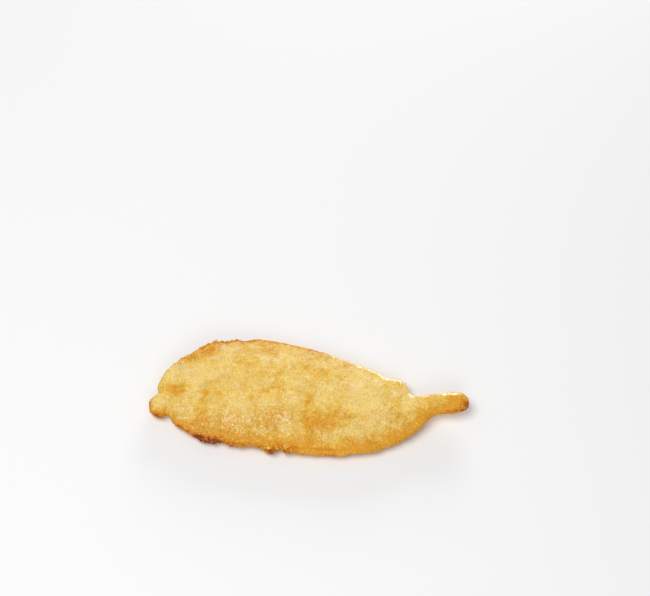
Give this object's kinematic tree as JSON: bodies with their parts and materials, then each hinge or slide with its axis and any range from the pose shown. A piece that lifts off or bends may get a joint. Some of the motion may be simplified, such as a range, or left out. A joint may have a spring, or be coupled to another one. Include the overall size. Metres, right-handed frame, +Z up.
{
  "type": "tempura anchovy",
  "caption": "Headless anchovy fillet opened out flat, coated in pale golden fried batter: a leaf shape with a round nub at the head end and a narrow tail",
  "frame": {"origin": "centre of the bounding box in X and Y, at the height of the surface that the piece rests on", "axes": "+X from the head end to the tail, +Y across the fillet to its fuller flap, +Z up out of the face that the picture shows"},
  "size_m": [0.116, 0.0482, 0.0097],
  "materials": {
    "fried_batter": null
  },
  "bodies": {
    "root": {"tempura_anchovy": "fried_batter"}
  },
  "joints": []
}
